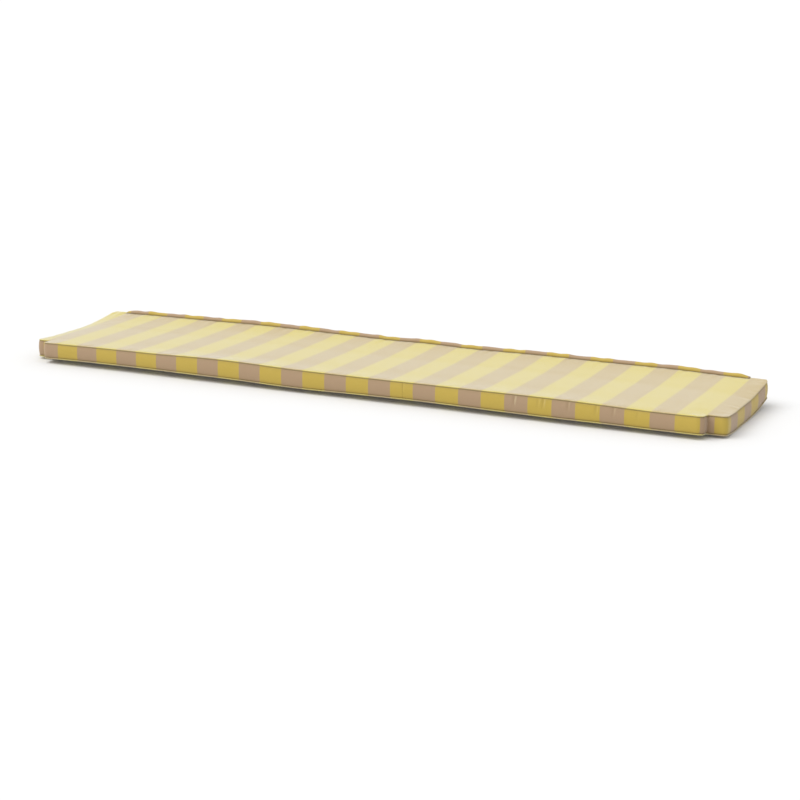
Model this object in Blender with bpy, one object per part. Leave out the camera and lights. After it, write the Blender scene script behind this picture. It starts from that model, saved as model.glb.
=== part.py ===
"""Boxed bench cushion: one filled pad with cut-out front corners, and the boxing bands sewn round its edge.

The pad is the top and bottom panels with their filling as one soft solid.  The bands are the strips of cloth
that join the panels: two that meet on the front and go round the ends, and one along the back, whose upper
edge puffs up above the seam.  Metres, +X along the length, +Y to the back, +Z up.
"""

import math

import bmesh
import bpy
from mathutils import Matrix, Vector

# Driving dimensions of the cut cushion
LENGTH = 2.056
DEPTH = 0.450
NOTCH_ALONG = 0.050
NOTCH_DEEP = 0.043
CORNER_RADIUS = 0.017
BAND_HEIGHT = 0.047
FRONT_JOIN = 0.167

# Cloth and seams
BAND_THICKNESS = 0.0018
GAP = 0.0003
RECESS = 0.0026
BULGE = 0.0022
ROLLED_EDGE = 0.0022
ROLL_WIDTH = 0.012
BOTTOM_ROLL = 0.0030

# Form of the filled pad.  Each curve of the crown is its reach in from a seam and its power, 1 straight, 3 square
CROWN = 0.0130
FRONT_CURVE = (0.130, 1.3)
BACK_CURVE = (0.140, 1.3)
END_CURVE = (0.110, 1.4)
NOTCH_CURVE = (0.060, 1.5)
FRONT_LIFT = 0.013
BACK_LIFT = 0.022
FLAT_FROM = 0.130
FLAT_TO = 0.260
LIFT_POWER = 1.7
END_DRAW = 0.0020
END_DRAW_REACH = 0.110

# Puffed upper edge of the back band
RIDGE_WIDTH = 0.0110
RIDGE_HEIGHT = 0.0125
RIDGE_TAPER = 0.022
RIDGE_END = 0.45
RIDGE_FOOT = 0.0030
FADE = 0.008

LAP_CLEARANCE = 0.0001
WELD = 0.00001
CORNER_MARGIN = 1.0001
CREASE_SHARPNESS = 3.0
SHARP_EDGE = 50.0

# How far in from the edges the seams' waves reach
WAVE_REACH = 0.110

HALF = LENGTH / 2
TONGUE = HALF - NOTCH_ALONG
SEAM_TOP = BOTTOM_ROLL + BAND_HEIGHT
EDGE_STEPS = (0.0, 0.005, 0.011, 0.017)
COLUMN_PITCH = 0.060
COLUMN_CLEARANCE = 0.015
MIDDLE_ROWS = (0.085, FLAT_FROM, 0.170, 0.220, FLAT_TO, 0.320, 0.365, 0.402)

# Wander of the front edge: place along the length, rise of the top seam, rise of the bottom seam
FRONT_EDGE = (
    (-1.03, -0.0050, -0.0010),
    (-0.90, -0.0030, 0.0020),
    (-0.79, -0.0015, 0.0035),
    (-0.60, -0.0010, 0.0035),
    (-0.45, 0.0015, 0.0030),
    (-0.34, 0.0018, 0.0020),
    (-0.12, 0.0010, -0.0010),
    (0.05, 0.0010, 0.0015),
    (0.20, 0.0014, 0.0025),
    (0.45, 0.0000, 0.0010),
    (0.60, 0.0003, 0.0000),
    (0.72, -0.0010, 0.0008),
    (0.85, -0.0016, -0.0005),
    (1.03, -0.0010, 0.0000),
)

# Wander of the back edge: place along the length, rise of the top seam, rise of the bottom seam
BACK_EDGE = (
    (-1.03, -0.0020, 0.0000),
    (-0.88, 0.0010, 0.0000),
    (-0.70, 0.0035, 0.0005),
    (-0.52, 0.0062, 0.0010),
    (-0.40, 0.0055, 0.0010),
    (-0.20, 0.0020, 0.0005),
    (-0.07, 0.0005, 0.0000),
    (0.04, 0.0025, 0.0005),
    (0.17, -0.0006, 0.0000),
    (0.36, 0.0016, 0.0005),
    (0.60, 0.0008, 0.0000),
    (0.79, 0.0010, 0.0000),
    (0.92, -0.0028, 0.0000),
    (1.03, -0.0045, 0.0000),
)

# Small waves: wavelength, height, phase
SWAY_WAVES = ((0.83, 0.0011, 0.2), (0.31, 0.0006, 2.6))
SCALLOPS = ((0.187, 0.10, 0.6), (0.113, 0.09, 1.4))

# Creases pressed across the front band: place along the length, depth, half width
PUCKERS = (
    (0.485, 0.0010, 0.008),
    (0.567, 0.0008, 0.007),
    (0.628, 0.0009, 0.008),
    (0.717, 0.0011, 0.008),
    (0.762, 0.0009, 0.009),
)

# Edge of the pad below its top panel: share of the band's height, inset, rise
PAD_EDGE = (
    (0.0, 0.0000, 0.0010),
    (0.0, 0.0012, 0.0002),
    (0.0, RECESS, -0.0004),
    (0.2, RECESS, 0.0),
    (0.5, RECESS, 0.0),
    (0.8, RECESS, 0.0),
    (1.0, RECESS, 0.0004),
    (1.0, 0.0012, -0.0002),
    (1.0, 0.0000, -0.0008),
)
EDGE_INSET = 0.0010
BAND_EDGE_DROP = 0.0010
BAND_EDGE_THICKNESS = 0.0006

# Band's outer face: share of its height down from the top seam, thickness there
BAND_FACE = (
    (0.0, BAND_EDGE_THICKNESS),
    (0.05, BAND_THICKNESS),
    (0.2, BAND_THICKNESS),
    (0.5, BAND_THICKNESS),
    (0.8, BAND_THICKNESS),
    (0.95, BAND_THICKNESS),
    (1.0, BAND_EDGE_THICKNESS),
)
BAND_BACKING = (1.0, 0.8, 0.5, 0.2, 0.0)

# Puffed edge of the back band, from its front foot over the top: shares of its width and of its rise
RIDGE_FACE = ((0.98, 0.12), (0.90, 0.58), (0.66, 0.92), (0.32, 1.0), (0.0, 0.72), (-0.13, 0.20))
RIDGE_UNDER = (0.23, 0.60, 0.95)

PANEL_CLOTH = (0.80, 0.72, 0.46, 1.0)
BAND_CLOTH = (0.70, 0.58, 0.28, 1.0)
CLOTH_ROUGHNESS = 0.85


def clear_scene():
    for thing in list(bpy.data.objects):
        bpy.data.objects.remove(thing, do_unlink=True)


def waves(table, place):
    """Sum of the sine waves in a table at a place along the length."""
    return sum(height * math.sin(math.tau * place / length + phase) for length, height, phase in table)


def wander(table, place):
    """Smooth curve through a table's rows: the rises of the top and bottom seams at a place."""
    last = len(table) - 2
    start = next((index for index in range(last) if place < table[index + 1][0]), last)
    rows = [table[min(max(start + step, 0), last + 1)] for step in (-1, 0, 1, 2)]
    share = (place - rows[1][0]) / (rows[2][0] - rows[1][0])
    share = min(max(share, 0.0), 1.0)
    rises = []
    for column in (1, 2):
        before, here, there, beyond = (row[column] for row in rows)
        bend = 2 * before - 5 * here + 4 * there - beyond
        twist = 3 * (here - there) + beyond - before
        rises.append(here + share * ((there - before) + share * (bend + share * twist)) / 2)
    return rises


def column_places():
    """Places along the length where the cushion's sections stand."""
    places = {TONGUE + FADE, FRONT_JOIN}
    places.update(HALF - step for step in EDGE_STEPS)
    places.update(TONGUE - step for step in EDGE_STEPS)
    places.update([-place for place in places if place != FRONT_JOIN])
    for place, _, half_width in PUCKERS:
        places.update((place - half_width, place, place + half_width))
    inner = TONGUE - EDGE_STEPS[-1]
    count = round(2 * inner / COLUMN_PITCH)
    for step in range(1, count):
        place = -inner + step * 2 * inner / count
        if min(abs(place - other) for other in places) > COLUMN_CLEARANCE:
            places.add(place)
    return sorted(places)


def row_places():
    """Places from front to back where the cushion's sections stand."""
    rows = [*EDGE_STEPS]
    rows += [NOTCH_DEEP + step for step in EDGE_STEPS]
    rows += MIDDLE_ROWS
    rows += [DEPTH - step for step in reversed(EDGE_STEPS)]
    return rows


COLUMNS = column_places()
ROWS = row_places()


def rounded(x, y):
    """Plan place of a section point once the outward corners are turned to arcs."""
    side = math.copysign(1.0, x)
    corners = ((TONGUE, 0.0, -1.0), (HALF, NOTCH_DEEP, -1.0), (HALF, DEPTH, 1.0))
    for corner_x, corner_y, facing in corners:
        u = 1 - (corner_x - abs(x)) / CORNER_RADIUS
        v = 1 - (corner_y - y) * facing / CORNER_RADIUS
        if 0 < u <= CORNER_MARGIN and 0 < v <= CORNER_MARGIN:
            turned_u = u * math.sqrt(1 - v * v / 2)
            turned_v = v * math.sqrt(1 - u * u / 2)
            new_x = corner_x - CORNER_RADIUS * (1 - turned_u)
            new_y = corner_y - facing * CORNER_RADIUS * (1 - turned_v)
            return side * new_x, new_y
    return x, y


def outline():
    """Section points round the edge: along the front to the right, then round the back to the left end."""
    cheek = [y for y in ROWS if 0.0 < y < NOTCH_DEEP]
    shelf = [x for x in COLUMNS if TONGUE <= x < HALF]
    end = [y for y in ROWS if NOTCH_DEEP <= y < DEPTH]
    points = [(x, 0.0) for x in COLUMNS if abs(x) <= TONGUE]
    points += [(TONGUE, y) for y in cheek]
    points += [(x, NOTCH_DEEP) for x in shelf]
    points += [(HALF, y) for y in end]
    points += [(x, DEPTH) for x in reversed(COLUMNS)]
    points += [(-HALF, y) for y in reversed(end)]
    points += [(-x, NOTCH_DEEP) for x in reversed(shelf)]
    points += [(-TONGUE, y) for y in reversed(cheek)]
    return points


OUTLINE = outline()


def inward_steps():
    """For each outline point, the plan vector that moves it one unit in from both its edges."""
    places = [Vector(rounded(x, y)) for x, y in OUTLINE]
    steps = {}
    for index, place in enumerate(places):
        before = (place - places[index - 1]).normalized()
        after = (places[(index + 1) % len(places)] - place).normalized()
        first = Vector((-before.y, before.x))
        second = Vector((-after.y, after.x))
        steps[OUTLINE[index]] = (first + second) / (1 + first.dot(second))
    return steps


INWARD = inward_steps()


def lapped(x, y):
    """1 on the back edge where the back band laps over the pad, falling to 0 beyond its ends."""
    if y < DEPTH - EDGE_STEPS[-1]:
        return 0.0
    return min(1.0, max(0.0, (TONGUE + FADE - abs(x)) / FADE))


def notch_distance(x, y):
    return math.hypot(max(TONGUE - abs(x), 0.0), max(y - NOTCH_DEEP, 0.0))


def fullness(distance, curve):
    """How far the filling has risen at a distance in from a seam, from 0 at the seam to 1."""
    reach, power = curve
    short = 1 - min(max(distance / reach, 0.0), 1.0)
    return (1 - short**power) ** (1 / power)


def roll(distance, height):
    """Quarter-round rise of a panel's edge."""
    short = 1 - min(distance / ROLL_WIDTH, 1.0)
    return height * math.sqrt(1 - short * short)


def top_height(x, y):
    """Height of the top panel over a section point, before the cushion settles."""
    rise = CROWN * fullness(y, FRONT_CURVE) * fullness(notch_distance(x, y), NOTCH_CURVE)
    rise *= fullness(DEPTH - y - RIDGE_WIDTH * lapped(x, DEPTH), BACK_CURVE)
    rise *= fullness(HALF - abs(x), END_CURVE)
    return SEAM_TOP + ROLLED_EDGE + rise


def bottom_height(x, y):
    distance = max(0.0, min(HALF - abs(x), y, DEPTH - y, notch_distance(x, y)))
    edge = BOTTOM_ROLL + PAD_EDGE[-1][2] - EDGE_INSET
    return edge - roll(distance, edge)


def settle(x, y, z, wave_share):
    """A point's final place: front and back lifted as on a dished seat, seams waving, ends drawn in."""
    lift = 0.0
    if y < FLAT_FROM:
        lift = FRONT_LIFT * ((FLAT_FROM - y) / FLAT_FROM) ** LIFT_POWER
    if y > FLAT_TO:
        lift = BACK_LIFT * ((y - FLAT_TO) / (DEPTH - FLAT_TO)) ** LIFT_POWER
    near_front = min(1.0, max(0.0, 1 - y / WAVE_REACH)) ** 2
    near_back = min(1.0, max(0.0, 1 - (DEPTH - y) / WAVE_REACH)) ** 2
    front_top, front_bottom = wander(FRONT_EDGE, x)
    back_top, back_bottom = wander(BACK_EDGE, x)
    wave_top = front_top * near_front + back_top * near_back
    wave_bottom = front_bottom * near_front + back_bottom * near_back
    across = min(max(y / DEPTH, 0.0), 1.0)
    draw = END_DRAW * math.sin(math.pi * across) * math.exp((abs(x) - HALF) / END_DRAW_REACH)
    return Vector((
        x - math.copysign(draw, x),
        y + waves(SWAY_WAVES, x) * (near_front - near_back) - DEPTH / 2,
        z + lift + wave_top * wave_share + wave_bottom * (1 - wave_share),
    ))


def swell(share):
    """Outward bulge of the filled side at a share of the band's height."""
    return BULGE * (1 - (2 * share - 1) ** 2)


def panel_point(x, y, top):
    """Final place of a point of the top or bottom panel."""
    plan = Vector(rounded(x, y))
    if (x, y) in INWARD:
        inset = max(EDGE_INSET, RECESS * lapped(x, y)) if top else EDGE_INSET
        plan += INWARD[(x, y)] * inset
    height = top_height(x, y) if top else bottom_height(x, y)
    return settle(plan.x, plan.y, height, 1.0 if top else 0.0)


def edge_point(x, y, level):
    """Final place of a point on the pad's side, at a level of its edge section."""
    share, inset, rise = PAD_EDGE[level]
    if share == 0.0:
        inset = max(inset, RECESS * lapped(x, y))
    plan = Vector(rounded(x, y)) + INWARD[(x, y)] * (inset - swell(share))
    return settle(plan.x, plan.y, SEAM_TOP - BAND_HEIGHT * share + rise, 1.0 - share)


def cloth_material(name, colour):
    material = bpy.data.materials.new(name)
    material.use_nodes = True
    shader = material.node_tree.nodes["Principled BSDF"]
    shader.inputs["Base Color"].default_value = colour
    shader.inputs["Roughness"].default_value = CLOTH_ROUGHNESS
    shader.inputs["Metallic"].default_value = 0.0
    return material


def add_object(collection, name, bm, colour):
    """Turn the finished shape into one named, smooth-shaded object with its own material."""
    bmesh.ops.recalc_face_normals(bm, faces=bm.faces)
    mesh = bpy.data.meshes.new(name)
    bm.to_mesh(mesh)
    bm.free()
    mesh.shade_smooth()
    mesh.set_sharp_from_angle(angle=math.radians(SHARP_EDGE))
    mesh.materials.append(cloth_material(name + "_cloth", colour))
    thing = bpy.data.objects.new(name, mesh)
    collection.objects.link(thing)
    return thing


def panel_grid(bm, section):
    """A flat grid with a vertex for each section point, its notches cut out."""
    grid = bmesh.ops.create_grid(bm, x_segments=len(COLUMNS) - 1, y_segments=len(ROWS) - 1, size=1.0)
    for vertex in grid["verts"]:
        column = round((vertex.co.x + 1) / 2 * (len(COLUMNS) - 1))
        row = round((vertex.co.y + 1) / 2 * (len(ROWS) - 1))
        vertex[section] = (column, row, 0.0)
    faces = {face for vertex in grid["verts"] for face in vertex.link_faces}
    cut = []
    for face in faces:
        inner = min(abs(COLUMNS[round(vertex[section].x)]) for vertex in face.verts)
        back = max(ROWS[round(vertex[section].y)] for vertex in face.verts)
        if inner >= TONGUE and back <= NOTCH_DEEP:
            cut.append(face)
    bmesh.ops.delete(bm, geom=cut, context="FACES")
    return [vertex for vertex in grid["verts"] if vertex.is_valid]


def filled_pad(collection):
    """Top and bottom panels and the filled side between them, with a recess for the bands."""
    bm = bmesh.new()
    section = bm.verts.layers.float_vector.new("section")

    def section_point(vertex):
        return COLUMNS[round(vertex[section].x)], ROWS[round(vertex[section].y)]

    for top in (True, False):
        sheet = panel_grid(bm, section)
        for vertex in sheet:
            vertex.co = panel_point(*section_point(vertex), top)
        if top:
            rim = [edge for edge in bm.edges if edge.is_boundary]
    for level in range(len(PAD_EDGE) + 1):
        grown = bmesh.ops.extrude_edge_only(bm, edges=rim)["geom"]
        for vertex in (part for part in grown if isinstance(part, bmesh.types.BMVert)):
            x, y = section_point(vertex)
            vertex.co = edge_point(x, y, level) if level < len(PAD_EDGE) else panel_point(x, y, False)
        rim = [part for part in grown if isinstance(part, bmesh.types.BMEdge)]
    bmesh.ops.remove_doubles(bm, verts=bm.verts, dist=WELD)
    return add_object(collection, "filled_pad", bm, PANEL_CLOTH)


def pucker(x, y):
    """Depth of the creases pressed across the front band."""
    if y > 0.0:
        return 0.0
    spread = [(depth, (x - place) / half_width) for place, depth, half_width in PUCKERS]
    return sum(depth * math.exp(-CREASE_SHARPNESS * off * off) for depth, off in spread)


def puff(x):
    """How far the back band's upper edge puffs up, as a share of its full height."""
    inside = min(1.0, max(0.0, (TONGUE - abs(x)) / RIDGE_TAPER))
    return (RIDGE_END + (1 - RIDGE_END) * math.sqrt(inside)) * (1 + waves(SCALLOPS, x))


def band_section(x, y, laps_over):
    """A band's closed section at an outline point: inset, height and share of the seam's wave."""
    section = []
    if laps_over:
        rise = RIDGE_HEIGHT * puff(x) - RIDGE_FOOT
        foot = SEAM_TOP + RIDGE_FOOT
        section += [(part * RIDGE_WIDTH, foot + rise * share, 1.0) for part, share in RIDGE_FACE]
    tall = BAND_HEIGHT - 2 * BAND_EDGE_DROP
    for share, thickness in BAND_FACE:
        if laps_over and share == 0.0:
            continue
        inset = RECESS - GAP - thickness - swell(share) + pucker(x, y) * swell(share) / BULGE
        section.append((inset, SEAM_TOP - BAND_EDGE_DROP - tall * share, 1 - share))
    for share in BAND_BACKING:
        section.append((RECESS - GAP - swell(share), SEAM_TOP - BAND_EDGE_DROP - tall * share, 1 - share))
    if laps_over:
        under = SEAM_TOP + ROLLED_EDGE + GAP + LAP_CLEARANCE
        section += [(part * RIDGE_WIDTH, under, 1.0) for part in RIDGE_UNDER]
    return section


def band(collection, name, run, end_trims, laps_over=False):
    """One strip of cloth along a run of outline points, trimmed at its two ends to part it from the next."""
    bm = bmesh.new()
    rings = []
    trims = [end_trims[0]] + [0.0] * (len(run) - 2) + [end_trims[1]]
    for (x, y), trim in zip(run, trims):
        plan = Vector(rounded(x, y))
        ring = []
        for inset, height, wave_share in band_section(x, y, laps_over):
            place = plan + INWARD[(x, y)] * inset
            ring.append(bm.verts.new(settle(place.x + trim, place.y, height, wave_share)))
        rings.append(ring)
    size = len(rings[0])
    for ring, following in zip(rings, rings[1:]):
        for index in range(size):
            after = (index + 1) % size
            bm.faces.new((ring[index], ring[after], following[after], following[index]))
    bm.faces.new(rings[0])
    bm.faces.new(rings[-1])
    return add_object(collection, name, bm, BAND_CLOTH)


def runs():
    """The outline's points for each band: round the right end, along the back, and round the left end."""
    front = OUTLINE.index((FRONT_JOIN, 0.0))
    right = OUTLINE.index((TONGUE, DEPTH))
    left = OUTLINE.index((-TONGUE, DEPTH))
    return OUTLINE[front:right + 1], OUTLINE[right:left + 1], OUTLINE[left:] + OUTLINE[:front + 1]


def stand_on_origin(things):
    """Move the finished pieces so that the middle of their box's underside is the origin."""
    points = [vertex.co for thing in things for vertex in thing.data.vertices]
    low = [min(point[axis] for point in points) for axis in range(3)]
    high = [max(point[axis] for point in points) for axis in range(3)]
    shift = Vector((-(low[0] + high[0]) / 2, -(low[1] + high[1]) / 2, -low[2]))
    for thing in things:
        thing.data.transform(Matrix.Translation(shift))


def main():
    clear_scene()
    collection = bpy.data.collections.new("Bench cushion")
    bpy.context.scene.collection.children.link(collection)
    right_run, back_run, left_run = runs()
    half_gap = GAP / 2
    things = [
        filled_pad(collection),
        band(collection, "band_right", right_run, (half_gap, half_gap)),
        band(collection, "band_back", back_run, (-half_gap, half_gap), laps_over=True),
        band(collection, "band_left", left_run, (-half_gap, -half_gap)),
    ]
    stand_on_origin(things)


main()
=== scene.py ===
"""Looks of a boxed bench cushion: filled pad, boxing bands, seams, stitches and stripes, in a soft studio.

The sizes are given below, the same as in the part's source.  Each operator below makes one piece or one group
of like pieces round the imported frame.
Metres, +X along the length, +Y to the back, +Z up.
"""

import math

import bmesh
import bpy
import numpy as np
from bpy.props import FloatProperty, FloatVectorProperty, PointerProperty
from mathutils import Matrix, Vector


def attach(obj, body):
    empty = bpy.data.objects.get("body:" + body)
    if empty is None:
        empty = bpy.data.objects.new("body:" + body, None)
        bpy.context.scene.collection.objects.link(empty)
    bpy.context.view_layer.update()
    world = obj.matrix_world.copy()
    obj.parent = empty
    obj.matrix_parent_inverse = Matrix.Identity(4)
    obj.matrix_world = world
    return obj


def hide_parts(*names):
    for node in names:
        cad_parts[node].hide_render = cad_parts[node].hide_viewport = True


bl_info = {
    "name": "Boxed bench cushion",
    "version": (1, 0, 0),
    "blender": (4, 5, 0),
    "location": "3D View > Sidebar > Cushion",
    "description": "Makes a striped boxed bench cushion with its seams and a soft studio",
    "category": "Object",
}

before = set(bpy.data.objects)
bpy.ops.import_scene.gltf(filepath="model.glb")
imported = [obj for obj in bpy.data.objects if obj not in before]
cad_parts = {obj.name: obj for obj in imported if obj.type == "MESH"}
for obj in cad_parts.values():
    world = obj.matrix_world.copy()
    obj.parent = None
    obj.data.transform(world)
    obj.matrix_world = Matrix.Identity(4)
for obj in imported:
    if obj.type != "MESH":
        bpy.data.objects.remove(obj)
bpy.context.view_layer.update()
BODY = "root"

# Sizes of the cut cushion, the same as in the part's source
LENGTH = 2.056
DEPTH = 0.450
NOTCH_ALONG = 0.050
NOTCH_DEEP = 0.043
CORNER_RADIUS = 0.017
CORNER_MARGIN = 1.0001
BAND_HEIGHT = 0.047
FRONT_JOIN = 0.167

# Cloth and seams
BAND_THICKNESS = 0.0018
BAND_EDGE_THICKNESS = 0.0006
BAND_EDGE_DROP = 0.0010
BAND_EDGE_ROLL = 0.004
GAP = 0.0003
LAP_CLEARANCE = 0.0001
RECESS = 0.0026
BULGE = 0.0022
ROLLED_EDGE = 0.0022
ROLL_WIDTH = 0.012
BOTTOM_ROLL = 0.0030
EDGE_INSET = 0.0010

# Form of the filled pad.  A curve of its crown is a reach in from a seam and a power, 1 straight, 3 square
CROWN = 0.0130
FRONT_CURVE = (0.130, 1.3)
BACK_CURVE = (0.140, 1.3)
END_CURVE = (0.110, 1.4)
NOTCH_CURVE = (0.060, 1.5)
FRONT_LIFT = 0.013
BACK_LIFT = 0.022
FLAT_FROM = 0.130
FLAT_TO = 0.260
LIFT_POWER = 1.7
END_DRAW = 0.0020
END_DRAW_REACH = 0.110
WAVE_REACH = 0.110

# Puffed upper edge of the back band, a little lower and calmer than the part's solid
RIDGE_WIDTH = 0.0110
RIDGE_HEIGHT = 0.0102
RIDGE_TAPER = 0.022
RIDGE_END = 0.45
RIDGE_FOOT = 0.0030
RIDGE_RIPPLE = 0.12
FADE = 0.008

# How the top panel is held while its filling swells
HELD_BESIDE_SEAM = 0.0040
FREE_FROM = 0.045
SWELLING_FRAMES = 20

# How far from a seam the cloth's folded edge is painted darker, as painted shade in its crease: on the pad,
# on the boxing, on the back band
PAD_SHADE = 0.0020
BOXING_SHADE = 0.0030
BACK_SHADE = 0.0025

HALF = LENGTH / 2
TONGUE = HALF - NOTCH_ALONG
SEAM_TOP = BOTTOM_ROLL + BAND_HEIGHT
CORNERS = ((TONGUE, 0.0, -1.0), (HALF, NOTCH_DEEP, -1.0), (HALF, DEPTH, 1.0))
EDGE_STEPS = (0.0, 0.0012, 0.0030, 0.0060, 0.0110, 0.017)

# Wander of the front and back edges: place along the length, rise of the top seam, rise of the bottom seam.
# The front's top seam keeps a little closer to the photograph's than the part's solid does.
FRONT_EDGE = (
    (-1.03, -0.0050, -0.0010),
    (-0.90, -0.0030, 0.0020),
    (-0.79, -0.0015, 0.0035),
    (-0.60, 0.0000, 0.0035),
    (-0.45, 0.0037, 0.0030),
    (-0.34, 0.0040, 0.0020),
    (-0.12, 0.0000, -0.0010),
    (0.05, -0.0005, 0.0015),
    (0.20, -0.0002, 0.0025),
    (0.45, 0.0008, 0.0010),
    (0.60, 0.0008, 0.0000),
    (0.72, -0.0010, 0.0008),
    (0.85, -0.0038, -0.0005),
    (1.03, -0.0030, 0.0000),
)
BACK_EDGE = (
    (-1.03, -0.0020, 0.0000),
    (-0.88, 0.0010, 0.0000),
    (-0.70, 0.0035, 0.0005),
    (-0.52, 0.0062, 0.0010),
    (-0.40, 0.0055, 0.0010),
    (-0.20, 0.0020, 0.0005),
    (-0.07, 0.0005, 0.0000),
    (0.04, 0.0025, 0.0005),
    (0.17, -0.0006, 0.0000),
    (0.36, 0.0016, 0.0005),
    (0.60, 0.0008, 0.0000),
    (0.79, 0.0010, 0.0000),
    (0.92, -0.0028, 0.0000),
    (1.03, -0.0045, 0.0000),
)

# How far stripes lie to the right of even ones: place along the length or the boxing strip, shift
TOP_SHIFT = (
    (-0.90, -0.0100),
    (-0.65, -0.0085),
    (-0.45, -0.0050),
    (-0.25, 0.0000),
    (-0.05, 0.0030),
    (0.35, 0.0045),
    (0.75, 0.0024),
    (0.95, 0.0010),
)
TOP_BACK_SHIFT = (
    (-0.90, 0.0090),
    (-0.45, 0.0105),
    (-0.20, 0.0080),
    (0.0, 0.0045),
    (0.30, 0.0022),
)
TOP_BACK_FROM = 0.29
TOP_BACK_REACH = 0.12
TOP_BACK_POWER = 1.3
BAND_SHIFT = (
    (-1.07, 0.0),
    (-0.93, -0.0094),
    (-0.60, -0.0063),
    (-0.42, -0.0014),
    (-0.20, 0.0020),
    (0.13, 0.0022),
    (0.45, 0.0006),
    (0.72, -0.0023),
    (0.92, -0.0029),
    (1.07, 0.0),
)
BACK_BAND_SHIFT = (
    (-0.90, 0.0153),
    (-0.60, 0.0150),
    (-0.45, 0.0180),
    (-0.05, 0.0180),
    (0.20, 0.0150),
    (0.45, 0.0135),
    (0.58, 0.0110),
    (0.70, 0.0083),
    (0.82, -0.0035),
    (0.95, -0.0040),
)

# Small waves: wavelength, height, phase
SWAY_WAVES = ((0.83, 0.0011, 0.2), (0.31, 0.0006, 2.6))
SCALLOPS = ((0.187, 0.04, 0.6), (0.113, 0.03, 1.4))
GATHERS = ((0.0470, 0.30, 0.4), (0.0330, 0.28, 2.1), (0.0235, 0.24, 4.0), (0.0715, 0.18, 1.0))
GATHER_SWELLS = ((0.290, 0.30, 0.7), (0.131, 0.22, 3.3))
RIDGE_GATHERS = ((0.059, 0.5, 1.9), (0.041, 0.3, 0.3), (0.083, 0.2, 5.1))

# Gathers of the top panel beside the front, the back and the end seams: height, reach, place in the waves
FRONT_GATHER = (1.0, 1.0, 0.0)
BACK_GATHER = (1.5, 1.4, 0.4)
END_GATHER = (0.8, 1.0, 0.7)
GATHER_CLEAR = 0.002

# Gathers of the boxing: height, reach, place in the waves beside the top seam and beside the bottom one
BOXING_GATHER = 0.45
BOXING_GATHER_REACH = 0.012
BOXING_GATHER_PLACES = (0.2, 0.9)

# Folds pressed down the front band: place along the length, depth, half width, painted highlight on the
# fold's crest
PUCKERS = (
    (0.167, 0.0006, 0.0040, 0.1),
    (0.483, 0.0016, 0.0036, 0.9),
    (0.548, 0.0009, 0.0050, 0.2),
    (0.562, 0.0015, 0.0040, 0.4),
    (0.629, 0.0016, 0.0036, 0.3),
    (0.704, 0.0012, 0.0042, 0.2),
    (0.749, 0.0012, 0.0040, 0.3),
    (0.812, 0.0007, 0.0050, 0.1),
)

# A fold's section: share of its depth, place in half widths, sharpness.  Its painted highlight on the crest
# and its painted shade in the groove:
# place in half widths, sharpness.
FOLD_SECTION = ((0.8, 0.0, 2.0), (-0.8, 1.4, 2.0), (-0.4, -2.2, 1.0))
CREST = (1.2, 4.0)
GROOVE = (0.0, 2.0)
DARKEST_FOLD = 0.0016
GROOVE_SHADE = 0.6

# How a fold hangs from the top seam: sideways lean in half widths, share of the band's height where it has
# begun and where it ends, power of its fading
FOLD_LEAN = -1.2
FOLD_START = 0.04
FOLD_REACH = 0.66
FOLD_FADE = 0.8

# Edge of the pad below its top panel: share of the band's height, inset, rise, painted shade in the seam's
# crease
PAD_EDGE = (
    (0.0, -0.0004, 0.0020, 0.0),
    (0.0, -0.0013, 0.0012, 0.0),
    (0.0, -0.0008, 0.0002, 0.3),
    (0.0, 0.0010, -0.0003, 1.0),
    (0.0, RECESS, -0.0004, 1.0),
    (0.15, RECESS, 0.0, 1.0),
    (0.5, RECESS, 0.0, 1.0),
    (0.85, RECESS, 0.0, 1.0),
    (1.0, RECESS, 0.0004, 1.0),
    (1.0, 0.0010, 0.0005, 1.0),
    (1.0, -0.0010, 0.0008, 0.2),
    (1.0, -0.0019, 0.0001, 0.0),
    (1.0, -0.0016, -0.0010, 0.0),
)

# Levels of a band's face and back, as shares of its height down from the top seam
BAND_LEVELS = (0.0, 0.02, 0.05, 0.09, 0.16, 0.25, 0.37, 0.5, 0.63, 0.75, 0.84, 0.91, 0.95, 0.98, 1.0)
LAPPED_LEVEL = 0.05
BACKING_LEVELS = (1.0, 0.8, 0.5, 0.2, 0.0)

# Puffed edge of the back band, from its front foot over the top: shares of its width and of its rise
RIDGE_FACE = ((0.98, 0.12), (0.90, 0.58), (0.66, 0.92), (0.32, 1.0), (0.0, 0.72), (-0.13, 0.20))
RIDGE_UNDER = (0.23, 0.60, 0.95)
RIDGE_CUTS = 2

# Weave of the cloth: noises by their scales across and along it, and how strongly each tells
FRAY = (300.0, 900.0)
FRAY_WIDTH = 0.0006
STRIPE_BIAS = 0.02
STRIPE_SHARPNESS = 20.0
YARN_SHARPNESS = 3.0
SLUBS = ((220.0, 9.0), (12.0, 260.0))
SLUB_TONE = 0.22
SLUB_RELIEF = 0.8
BLOTCHES = (14.0, 14.0, 3.0)
BLOTCH_TONE = 0.10
WEAR = (40.0, 40.0)
WEAR_ROUGHNESS = 0.12
RELIEF_STRENGTH = 0.35
RELIEF_HEIGHT = 0.0003
FINISH_ROUGHNESS = 0.5

# Tones of the cloth: warp and weft beside their stripe's colour, slubs; painted highlight on folds' crests;
# painted shade in seams' creases
WARP_LIGHT = 1.03
WEFT_LIGHT = 0.97
DIMMEST = (0.80, 0.80, 0.80)
BRIGHTEST = (1.0, 1.0, 1.0)
# Painted highlight on the folds' crests: its pale colour and how strongly it tells
CREST_HIGHLIGHT_COLOUR = (0.74, 0.65, 0.40)
CREST_HIGHLIGHT_SHARE = 0.65
# Painted shade in the creases of the seams and in the folds' grooves: its dark colour and how strongly it
# tells
SEAM_SHADE_COLOUR = (0.18, 0.125, 0.04)
SEAM_SHADE_SHARE = 0.80

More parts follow.
